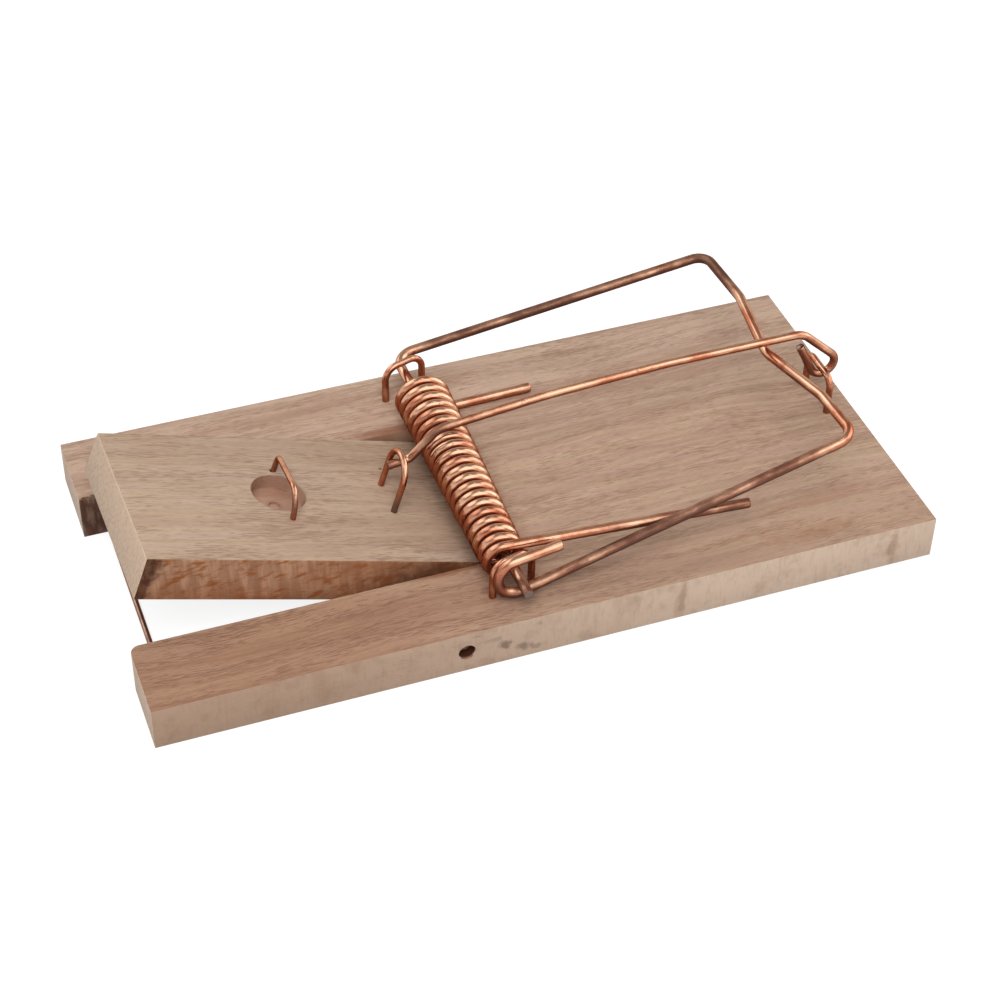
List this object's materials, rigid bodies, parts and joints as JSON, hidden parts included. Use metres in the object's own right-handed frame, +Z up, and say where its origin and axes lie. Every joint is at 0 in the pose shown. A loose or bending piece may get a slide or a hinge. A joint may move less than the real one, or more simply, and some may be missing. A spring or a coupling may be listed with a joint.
{
  "type": "snap mouse trap",
  "caption": "Wooden snap mouse trap shown set, with a wire bow swung back on its spring, a trip bar over it and a raised wooden treadle with a bait recess.",
  "frame": {"origin": "centre of the board's underside", "axes": "+X along the board from the treadle's end to the trip bar's staple, +Y across the board to the far rail, +Z up out of the board"},
  "size_m": [0.1, 0.0494, 0.0184],
  "materials": {
    "board_wood": "sawn beech, bare",
    "treadle_wood": "sawn beech, bare",
    "copper_wire": "bright copper plating",
    "dark_copper_wire": "tarnished copper plating",
    "pin_steel": "plain steel"
  },
  "bodies": {
    "base": {"base_board": "board_wood", "treadle_pivot_pin": "pin_steel", "front_stop_wire": "dark_copper_wire", "near_bow_staple": "copper_wire", "far_bow_staple": "copper_wire", "trip_bar_staple": "copper_wire", "spring": "copper_wire"},
    "bow": {"bow": "dark_copper_wire"},
    "treadle": {"treadle": "treadle_wood", "trigger_staple": "copper_wire", "bait_staple": "dark_copper_wire"},
    "trip_bar": {"trip_bar": "copper_wire"}
  },
  "joints": [
    {"name": "bow_swing", "type": "hinge", "parent": "base", "child": "bow", "pos_m": [-0.0047, 0, 0.0097], "axis": [0.0175, -0.9998, 0], "range_deg": [0, 171.5], "deforming": ["spring"]},
    {"name": "treadle_tilt", "type": "hinge", "parent": "base", "child": "treadle", "pos_m": [-0.012, 0, 0.003], "axis": [0, -1, 0], "range_deg": [0, 15.2]},
    {"name": "trip_bar_swing", "type": "hinge", "parent": "base", "child": "trip_bar", "pos_m": [0.0463, 0.002, 0.0113], "axis": [0, 1, 0], "range_deg": [0, 160]}
  ],
  "couplings": [
    {"joint": "treadle_tilt", "follows": "bow_swing", "ratio": 0.08863}
  ]
}
